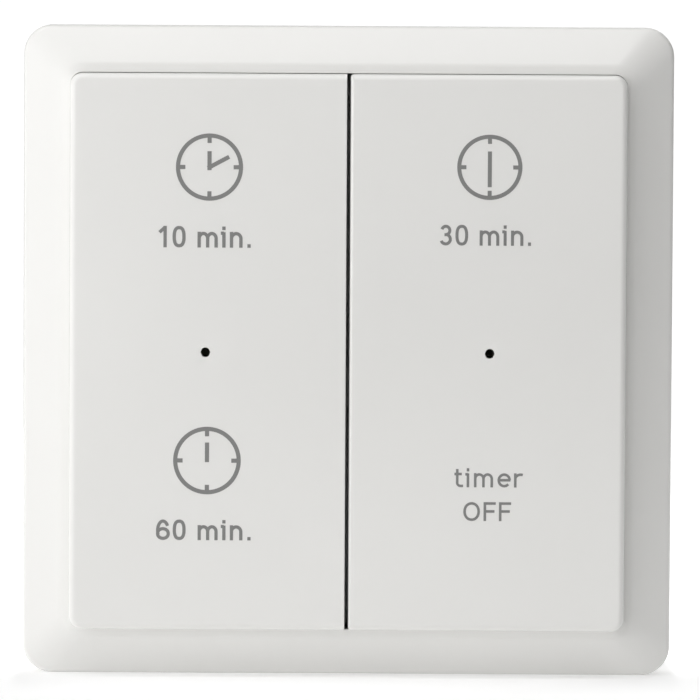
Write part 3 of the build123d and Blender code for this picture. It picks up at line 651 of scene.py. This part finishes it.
def key_feet():
    """Round feet with a broken edge."""
    foot_rear = key_inner - FOOT_LENGTH
    profile = [
        (FOOT_RADIUS - FOOT_EDGE, foot_rear),
        (FOOT_RADIUS, foot_rear + FOOT_EDGE),
        (FOOT_RADIUS, sunk),
    ]
    return [turned(profile, key_middle, y) for y in (-SWITCH_OFFSET, SWITCH_OFFSET)]


def mirrored(part):
    """The same shape on the other side of x = 0, its faces turned round so that they point outwards."""
    points, faces = part
    return points * np.array([-1, 1, 1]), [face[::-1] for face in faces]


for side, gap_round in GAP_ROUND.items():
    parts = [key_shell(gap_round), *key_ribs(), *key_cheeks(), *key_feet()]
    if side == "left":
        parts = [mirrored(part) for part in parts]
    key = piece(f"{side}_key_cap", parts, f"{side}_key", key_white)
    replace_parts(even_shading(key), f"{side}_rocker")

# %% [markdown]
# ## Printed marks
# Each key half says what it does with a small clock face or a word, pad-printed in grey. Lettering
# could come from a font, but the clocks can't, and print and clock should share one pen. So every
# sign is a few centre lines, straight runs and parts of ellipses, and a pen of constant width is
# drawn along them. The ink stands two hundredths of a millimetre proud. Each stroke lies a hair
# above the one before, so that two strokes never fight for the same plane where they cross.

# %% Centre lines
def line(*places):
    """A straight run through the given places."""
    return np.array(places, float)


def bow(x, y, half_width, half_height, start, end, steps=24):
    """Part of an ellipse: centre + (half width * cos a, half height * sin a), a in degrees."""
    angle = np.radians(np.linspace(start, end, steps + 1))
    return np.stack([x + half_width * np.cos(angle), y + half_height * np.sin(angle)], axis=1)


def hoop(x, y, half_width, half_height, power=2.0, steps=64):
    """A closed superellipse: centre + half size * sign(t) * |t|^(2 / power), t being cos a or sin a."""
    angle = np.linspace(0, 2 * pi, steps + 1)
    swing = np.stack([np.cos(angle), np.sin(angle)], axis=1)
    swing = np.sign(swing) * np.abs(swing) ** (2 / power)
    return np.array([x, y]) + swing * np.array([half_width, half_height])


# %% Ink along a line
INK_HEIGHT = 0.02
INK_STEP = 0.0006


def pen_stroke(path, width, level):
    """Ink along a path: at each point a flat rectangle, width across, from inside the face to level."""
    closed = np.allclose(path[0], path[-1])
    if closed:
        path = path[:-1]
    ahead = np.roll(path, -1, axis=0) - np.roll(path, 1, axis=0)
    if not closed:
        ahead[0] = path[1] - path[0]
        ahead[-1] = path[-1] - path[-2]
    ahead /= np.linalg.norm(ahead, axis=1, keepdims=True)
    side = np.stack([-ahead[:, 1], ahead[:, 0]], axis=1) * width / 2
    flat = np.stack([path - side, path + side, path + side, path - side], axis=1)
    height = key_front + np.array([-INK_HEIGHT, -INK_HEIGHT, level, level])
    height = np.broadcast_to(height[None, :, None], flat.shape[:2] + (1,))
    return skin(np.concatenate([flat, height], axis=2), closed)


# %% Signs
TALL = 2.62
SMALL = 1.92
ARCH = 0.62
ADVANCE = {"0": 2.0, "1": 2.0, "3": 1.93, "6": 2.05, " ": 1.05, "m": 3.02, "i": 0.93, "n": 2.15,
           "t": 1.56, "e": 2.12, "O": 2.6, "F": 1.97, "r": 1.3, ".": 0.7}


def sign_lines(pen):
    """Centre lines of each sign for a pen of that width, with its lower left corner at (0, 0)."""
    h = pen / 2
    top = SMALL - h
    digit_x = 0.8
    half = digit_x - h

    def arch(x0, x1):
        """Up from a stem, over half an ellipse and down to the line."""
        return np.concatenate([bow((x0 + x1) / 2, top - ARCH, (x1 - x0) / 2, ARCH, 180, 0), line((x1, 0))])

    return {
        "0": [hoop(digit_x, TALL / 2, half, TALL / 2 - h, power=2.5)],
        "1": [line((1.09, 0), (1.09, TALL)), line((0.4, TALL - 0.78), (1.09, TALL - 0.16))],
        "3": [bow(0.72, 1.9, 0.5, TALL - h - 1.9, 165, -90), bow(0.7, 0.79, 0.59, 0.79 - h, 90, -160),
              line((0.55, 1.36), (0.74, 1.36))],
        "6": [hoop(0.86, 0.82, 0.86 - h, 0.82 - h, power=2.1),
              bow(0.86, 1.2, 0.86 - h, TALL - h - 1.2, 205, 30)],
        "m": [line((h, 0), (h, SMALL)), arch(h, 1.24), arch(1.24, 2.48 - h)],
        "n": [line((h, 0), (h, SMALL)), arch(h, 1.56 - h)],
        "i": [line((h, 0), (h, SMALL - 0.04)), line((-0.17, SMALL - 0.16), (h, SMALL - 0.16)),
              line((h, 2.15), (h, 2.58))],
        ".": [line((h, 0), (h, 0.43))],
        "t": [np.concatenate([line((0.36, 2.47)), bow(0.8, 0.6, 0.44, 0.6 - h, 180, 270), line((1.12, h))]),
              line((0, SMALL - 0.13), (0.95, SMALL - 0.13))],
        "e": [bow(0.88, SMALL / 2, 0.88 - h, SMALL / 2 - h, 0, 318),
              line((h, SMALL / 2 + 0.02), (1.76 - h / 2, SMALL / 2 + 0.02))],
        "r": [line((h, 0), (h, SMALL)), bow(0.88, top - ARCH, 0.88 - h, ARCH, 180, 68)],
        "O": [hoop(1.08, TALL / 2, 1.08 - h, TALL / 2 - h, power=2.1)],
        "F": [line((h, 0), (h, TALL)), line((h, TALL - h), (1.58, TALL - h)),
              line((h, TALL / 2 + 0.03), (1.42, TALL / 2 + 0.03))],
        " ": [],
    }


def written(text, x, y, wide, high, pen):
    """Centre lines of a word whose first sign starts at (x, y), wide and high being its stretch."""
    signs = sign_lines(pen / high)
    lines = []
    for letter in text:
        lines += [(path * (wide, high) + (x, y), pen) for path in signs[letter]]
        x += ADVANCE[letter] * wide
    return lines


print("signs:", list(ADVANCE))


# %% Clock faces
CLOCK_RADIUS = 3.85
CLOCK_PEN = 0.51
TICK_END = 2.95


def clock(x, y, size, hands):
    """A ring with four ticks, and hands from one place to another, all measured from the centre."""
    lines = [hoop(0, 0, CLOCK_RADIUS, CLOCK_RADIUS, steps=96)]
    for across, up in ((1, 0), (0, 1), (-1, 0), (0, -1)):
        lines.append(line((across * CLOCK_RADIUS, up * CLOCK_RADIUS), (across * TICK_END, up * TICK_END)))
    lines += [line(start, end) for start, end in hands]
    return [(path * size + (x, y), CLOCK_PEN * size) for path in lines]


# %% The four prints
MARKS = {
    "left_upper": clock(-16.99, 22.66, 1.0, [((0, -0.37), (0, 1.94)), ((-0.2, -0.12), (2.4, 1.27))])
    + written("10 min.", -23.47, 12.83, 1.0, 1.0, 0.41),
    "left_lower": clock(-17.15, -13.27, 1.01, [((0, -0.19), (0, 2.19))])
    + written("60 min.", -23.37, -23.05, 1.0, 0.96, 0.40),
    "right_upper": clock(17.25, 22.82, 0.97, [((0, -2.5), (0, 2.0))])
    + written("30 min.", 11.23, 13.25, 0.97, 0.965, 0.37),
    "right_lower": written("timer", 13.17, -16.37, 0.955, 0.905, 0.32)
    + written("OFF", 14.27, -20.51, 0.955, 0.885, 0.32),
}


def printed(name, strokes, side, ink):
    """One print on one key, each stroke a hair above the one before."""
    parts = [pen_stroke(path, width, INK_HEIGHT + i * INK_STEP) for i, (path, width) in enumerate(strokes)]
    return piece(f"{name}_print", parts, f"{side}_key", ink)


grey_ink = moulded("grey_ink", (0.22, 0.22, 0.215), 0.4, mottle=0.08, pits=(0.2, 0.002))
for name, strokes in MARKS.items():
    printed(name, strokes, name.split("_")[0], grey_ink)

# %% [markdown]
# ## Metal, board and clear plastic
# Behind the keys and behind the wall plate's window lie sheet metal, a coin cell, a circuit board
# and its chips. They hardly show, but whoever turns the timer round looks right at the cell. Rolled
# sheet has fine lines along the rolling direction, so the noise is squeezed across them. The cell's
# can is turned, so its lines are rings about its own axis, and a Mapping node centres them there.
# A photographed metal could do the same, but its lines wouldn't follow each piece.

# %% Rolled and drawn metal
LINE_DEPTH = 0.001
DRAW_SIZE = 2.0
DRAW_DULL = 0.86
DRAW_GLOSS = (0.8, 1.25)


def rolled(name, colour, roughness, stretch):
    """Sheet or wire with drawing lines: noise squeezed across the stretch, in gloss and in relief."""
    material, tree, shader, place = new_finish(name)
    lines = noise(tree, place, DRAW_SIZE, detail=4, stretch=stretch)
    tint = spread(tree, lines, 0, 1)
    duller = tuple(c * DRAW_DULL for c in colour)
    tree.links.new(blend_colours(tree, tint, colour, duller), shader.inputs["Base Color"])
    gloss = spread(tree, lines, roughness * DRAW_GLOSS[0], roughness * DRAW_GLOSS[1])
    tree.links.new(gloss, shader.inputs["Roughness"])
    emboss(tree, shader, lines, LINE_DEPTH)
    shader.inputs["Metallic"].default_value = 1.0
    return material


# %% Turned metal
RING_SCALE = 900.0
RING_WAVER = 1.5
RING_DETAIL = 3.0
RING_GLOSS = (0.8, 1.3)
WEAR_SIZE = 5.0
WEAR_DULL = 0.9


def turned_can(name, colour, roughness, centre):
    """Turned steel: fine rings round an axis along y, blurred by a little noise."""
    material, tree, shader, place = new_finish(name)
    mapping = tree.nodes.new("ShaderNodeMapping")
    mapping.inputs["Location"].default_value = (-centre[0] * MM, 0, -centre[1] * MM)
    tree.links.new(place, mapping.inputs["Vector"])
    rings = tree.nodes.new("ShaderNodeTexWave")
    rings.wave_type = "RINGS"
    rings.rings_direction = "Y"
    rings.inputs["Scale"].default_value = RING_SCALE
    rings.inputs["Distortion"].default_value = RING_WAVER
    rings.inputs["Detail"].default_value = RING_DETAIL
    tree.links.new(mapping.outputs["Vector"], rings.inputs["Vector"])
    lines = rings.outputs["Fac"]
    wear = spread(tree, noise(tree, place, WEAR_SIZE, detail=5), 0, 1)
    duller = tuple(c * WEAR_DULL for c in colour)
    tree.links.new(blend_colours(tree, wear, colour, duller), shader.inputs["Base Color"])
    gloss = spread(tree, lines, roughness * RING_GLOSS[0], roughness * RING_GLOSS[1])
    tree.links.new(gloss, shader.inputs["Roughness"])
    emboss(tree, shader, lines, LINE_DEPTH)
    shader.inputs["Metallic"].default_value = 1.0
    return material


# %% Board and clear plastic
TRACK_PITCH = 2.4
TRACK_EDGE = (0.05, 0.09)
TRACK_HEIGHT = 0.02
MASK_PATCH = 3.0
MASK_GLOSS = (0.22, 0.34)
POLISH_PATCH = 0.6
POLISH_GLOSS = (0.7, 1.4)
POLISH_RIPPLE = (0.5, 0.001)
CLEAR_TINT = (0.75, 0.78, 0.78)
CLEAR_IOR = 1.49


def solder_mask(name, mask, track):
    """Green mask over copper tracks: the walls between square cells, a little lighter and raised."""
    material, tree, shader, place = new_finish(name)
    cells = tree.nodes.new("ShaderNodeTexVoronoi")
    cells.feature = "DISTANCE_TO_EDGE"
    cells.inputs["Scale"].default_value = 1 / (TRACK_PITCH * MM)
    tree.links.new(place, cells.inputs["Vector"])
    edge = graded(tree, cells.outputs["Distance"], TRACK_EDGE, (1, 0))
    tree.links.new(blend_colours(tree, edge, mask, track), shader.inputs["Base Color"])
    gloss = spread(tree, noise(tree, place, MASK_PATCH, detail=4), *MASK_GLOSS)
    tree.links.new(gloss, shader.inputs["Roughness"])
    emboss(tree, shader, edge, TRACK_HEIGHT)
    return material


def clear_moulding(name, roughness):
    """Clear acrylic with a faint unevenness of its polish."""
    material, tree, shader, place = new_finish(name)
    patches = noise(tree, place, POLISH_PATCH, detail=3)
    gloss = spread(tree, patches, roughness * POLISH_GLOSS[0], roughness * POLISH_GLOSS[1])
    tree.links.new(gloss, shader.inputs["Roughness"])
    emboss(tree, shader, noise(tree, place, POLISH_RIPPLE[0], detail=2), POLISH_RIPPLE[1])
    shader.inputs["Base Color"].default_value = (*CLEAR_TINT, 1)
    shader.inputs["Transmission Weight"].default_value = 1.0
    shader.inputs["IOR"].default_value = CLEAR_IOR
    return material


# %% Finishes of the measured pieces
cell_low, cell_high = bench_box("coin_cell")
cell_centre = ((cell_low[0] + cell_high[0]) / 2, (cell_low[1] + cell_high[1]) / 2)
can_steel = rolled("can_steel", (0.62, 0.62, 0.61), 0.32, (1, 1, 14))
chip_black = moulded("chip_black", (0.03, 0.03, 0.032), 0.55, mottle=0.2, pits=(0.12, 0.004))
spring_steel = rolled("spring_steel", (0.60, 0.59, 0.56), 0.28, (12, 1, 1))

SWITCHES = [f"{side}_{half}" for side in ("left", "right") for half in ("upper", "lower")]
finishes = {
    "cover_frame": frame_white,
    "wall_plate": plate_white,
    "carrier_plate": carrier_white,
    "rear_shell": shell_grey,
    "housing_screws": rolled("zinc_steel", (0.66, 0.67, 0.68), 0.3, (1, 10, 1)),
    "circuit_board": solder_mask("board_green", (0.02, 0.11, 0.05), (0.05, 0.20, 0.09)),
    "control_chip": chip_black,
    "radio_chip": chip_black,
    "crystal": can_steel,
    "chip_components": moulded(
        "component_tan", (0.30, 0.21, 0.14), 0.4, mottle=0.3, pits=(0.2, 0.003)),
    "antenna_wire": rolled("tinned_wire", (0.72, 0.72, 0.70), 0.25, (1, 8, 8)),
    "coin_cell": turned_can("cell_steel", (0.52, 0.52, 0.515), 0.27, cell_centre),
    "positive_contact": spring_steel,
    "negative_contact": spring_steel,
}
clear_guide = clear_moulding("clear_guide", 0.06)
led_resin = moulded("led_resin", (0.75, 0.71, 0.50), 0.3, mottle=0.05, pits=(0.2, 0.001))
switch_black = moulded("switch_black", (0.035, 0.035, 0.035), 0.5, mottle=0.2, pits=(0.15, 0.003))
dome_rubber = moulded("dome_rubber", (0.16, 0.16, 0.16), 0.75, mottle=0.15, pits=(0.2, 0.004))
plunger_ivory = moulded("plunger_ivory", (0.62, 0.58, 0.46), 0.42, mottle=0.05, pits=(0.2, 0.002))
for side in ("left", "right"):
    finishes[f"{side}_light_guide"] = clear_guide
    finishes[f"{side}_led"] = led_resin
    finishes[f"{side}_rocker"] = key_white
for switch in SWITCHES:
    finishes[f"{switch}_switch_body"] = switch_black
    finishes[f"{switch}_switch_cover"] = can_steel
    finishes[f"{switch}_switch_dome"] = dome_rubber
    finishes[f"{switch}_plunger"] = plunger_ivory

for node, finish in finishes.items():
    materials = frame["nodes"][node].data.materials
    materials.clear()
    materials.append(finish)
print("finished nodes:", len(finishes), "of", len(frame["nodes"]))

# %% [markdown]
# ## Switch domes
# Under each plunger a rubber dome pushes back. When the plunger comes in, the dome is pressed flat, which a
# rigid solid can't show. So each dome is turned afresh from its profile, with a mesh of its own.

# %% Switch domes
DOME_TOP_RADIUS = 1.0
DOME_SHEET = 0.3
DOME_TIP = 0.02


def dome_profile(floor, top, base):
    """Section of the sheet as (radius, height): in along the underside, and back over the top."""
    under = top - DOME_SHEET
    return [
        (DOME_TIP, under), (DOME_TOP_RADIUS, under), (base - DOME_SHEET, floor),
        (base, floor), (DOME_TOP_RADIUS, top), (DOME_TIP, top),
    ]


def switch_dome(switch):
    """The dome of one switch, in the place of its solid."""
    (x0, y0, floor), (x1, y1, top) = bench_box(f"{switch}_switch_dome")
    x, y = (x0 + x1) / 2, (y0 + y1) / 2
    sheet = turned(dome_profile(floor, top, (x1 - x0) / 2), x, y)
    made = piece(f"{switch}_dome_skin", [sheet], "housing", dome_rubber)
    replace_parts(made, f"{switch}_switch_dome")
    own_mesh(made)
    return made


for switch in SWITCHES:
    switch_dome(switch)

# %% [markdown]
# ## Floor and light
# The photograph was taken in a light tent: hardly a shadow, a bright left side, a duller right one, and a
# white ground that shows only as a faint shade under the lower edge. A plain floor at the frame's lower
# edge and a few large soft lights do the same. Lamps alone would cast a wider shade, so the floor glows
# with painted light of its own. It is brighter behind the device, where the painted light hides the lamps'
# shadows, and it fades towards the device's foot, which paints a soft shade there. The room adds a faint
# light from behind, and its strength as the camera sees it is kept apart, so that the ground stays white.

# %% The floor's painted light and painted shade
FLOOR_GLOW = (0.25, 0.85)
GLOW_RISE = (-16.0 * MM, 4.0 * MM)
SHADE_WIDTH = 20.0 * MM
SHADE_LEFT = 0.6
SHADE_SQUEEZE = (15.0, 1.0, 0.0)


def vector_step(tree, operation, vector, amount=(0, 0, 0)):
    """One step of vector arithmetic."""
    step = tree.nodes.new("ShaderNodeVectorMath")
    step.operation = operation
    tree.links.new(vector, step.inputs[0])
    step.inputs[1].default_value = amount
    return step.outputs["Value"] if operation == "LENGTH" else step.outputs["Vector"]


def painted_floor_light(tree, shader):
    """The floor's painted light: brighter behind the device than in front, and fading towards its foot into
    a painted shade.

    The distance from the foot is length(max(|p - m| - h, 0) * squeeze), m being the foot's middle
    and h half of its size. So it is 0 under the device, and the squeeze lets it grow fast sideways.
    """
    half_depth = lip_front / 2
    place = tree.nodes.new("ShaderNodeTexCoord").outputs["Object"]
    split = tree.nodes.new("ShaderNodeSeparateXYZ")
    tree.links.new(place, split.inputs["Vector"])
    # Painted light: the floor glows brighter behind the device than in front.
    behind = graded(tree, split.outputs["Y"], GLOW_RISE, FLOOR_GLOW, smooth=True)
    away = vector_step(tree, "ADD", place, Vector((0, half_depth, 0)) * MM)
    away = vector_step(tree, "ABSOLUTE", away)
    away = vector_step(tree, "SUBTRACT", away, Vector((frame_half, half_depth, frame_half)) * MM)
    away = vector_step(tree, "MAXIMUM", away)
    away = vector_step(tree, "MULTIPLY", away, SHADE_SQUEEZE)
    distance = vector_step(tree, "LENGTH", away)
    # Painted shade: the floor's glow drops towards the device's foot.
    shade = graded(tree, distance, (0, SHADE_WIDTH), (SHADE_LEFT, 1), smooth=True)
    fade = tree.nodes.new("ShaderNodeMath")
    fade.operation = "MULTIPLY"
    tree.links.new(behind, fade.inputs[0])
    tree.links.new(shade, fade.inputs[1])
    tree.links.new(fade.outputs["Value"], shader.inputs["Emission Strength"])


# %% Floor
FLOOR_REACH = 450.0
floor_y = -frame_half


def white_floor():
    """One large square under the lower edge of the frame."""
    reach = FLOOR_REACH
    square = [(-reach, -reach), (-reach, reach), (reach, reach), (reach, -reach)]
    corners = [(x, floor_y, z) for x, z in square]
    mesh = bpy.data.meshes.new("floor")
    mesh.from_pydata(stand(corners).tolist(), [], [(0, 1, 2, 3)])
    white = moulded("floor_white", (0.92, 0.92, 0.92), 0.9, pits=(0.3, 0.0))
    shader = white.node_tree.nodes["Principled BSDF"]
    # The floor's emission is painted light, with a painted shade at the device's foot.
    shader.inputs["Emission Color"].default_value = (1, 1, 1, 1)
    painted_floor_light(white.node_tree, shader)
    mesh.materials.append(white)
    made = bpy.data.objects.new("floor", mesh)
    bpy.context.scene.collection.objects.link(made)
    return made


floor = white_floor()
print(floor.name, "at", round(floor_y, 3), "mm, its shade", SHADE_WIDTH / MM, "mm wide")

# %% Softboxes
SOFTBOXES = {
    "left_edge": ((-0.35, -0.02, 0.0), (0.30, 0.30), 0.360),
    "left": ((-0.30, -0.25, 0.0), (0.50, 0.50), 0.380),
    "front_left": ((-0.40, -0.50, 0.0), (0.25, 0.40), 0.560),
    "upper_left": ((-0.30, -0.42, 0.32), (0.70, 0.70), 1.650),
    "top": ((0.0, -0.08, 0.25), (0.40, 0.15), 0.420),
    "left_panel": ((-0.15, -1.10, -0.056), (0.12, 0.14), 0.150),
    "back": ((0.35, 0.80, 0.45), (0.60, 0.60), 2.0),
}


def softbox(name, place, size, strength):
    """A rectangular area light that looks at the middle of the timer. strength is in watts."""
    data = bpy.data.lights.new(f"{name}_softbox", "AREA")
    data.shape = "RECTANGLE"
    data.size, data.size_y = size
    data.energy = strength
    lamp = bpy.data.objects.new(f"{name}_softbox", data)
    bpy.context.scene.collection.objects.link(lamp)
    lamp.location = place
    lamp.rotation_euler = (-Vector(place)).to_track_quat("-Z", "Y").to_euler()
    return lamp


for name, (place, size, strength) in SOFTBOXES.items():
    softbox(name, place, size, strength)
print("softboxes:", list(SOFTBOXES))

# %% White room
ROOM_STRENGTH = (0.0, 0.15)
ROOM_RISE = (-0.05, 0.15)
SEEN_WHITE = 1.05


def white_room():
    """A white world: plain white where the camera sees it, and as a light brighter behind the device.

    The direction of a ray is its Generated coordinate, so Y tells front from behind.
    """
    world = bpy.data.worlds.new("white_room")
    world.use_nodes = True
    tree = world.node_tree
    lit = tree.nodes["Background"]
    lit.inputs["Color"].default_value = (1, 1, 1, 1)
    way = tree.nodes.new("ShaderNodeTexCoord")
    split = tree.nodes.new("ShaderNodeSeparateXYZ")
    tree.links.new(way.outputs["Generated"], split.inputs["Vector"])
    behind = graded(tree, split.outputs["Y"], ROOM_RISE, ROOM_STRENGTH)
    tree.links.new(behind, lit.inputs["Strength"])
    seen = tree.nodes.new("ShaderNodeBackground")
    seen.inputs["Strength"].default_value = SEEN_WHITE
    seen.inputs["Color"].default_value = (1, 1, 1, 1)
    path = tree.nodes.new("ShaderNodeLightPath")
    mix = tree.nodes.new("ShaderNodeMixShader")
    tree.links.new(path.outputs["Is Camera Ray"], mix.inputs["Fac"])
    tree.links.new(lit.outputs["Background"], mix.inputs[1])
    tree.links.new(seen.outputs["Background"], mix.inputs[2])
    tree.links.new(mix.outputs["Shader"], tree.nodes["World Output"].inputs["Surface"])
    bpy.context.scene.world = world
    return world


room = white_room()
bpy.context.scene.view_settings.view_transform = "Standard"
print("room", room.name, "from behind", ROOM_STRENGTH[1], "and as seen", SEEN_WHITE)
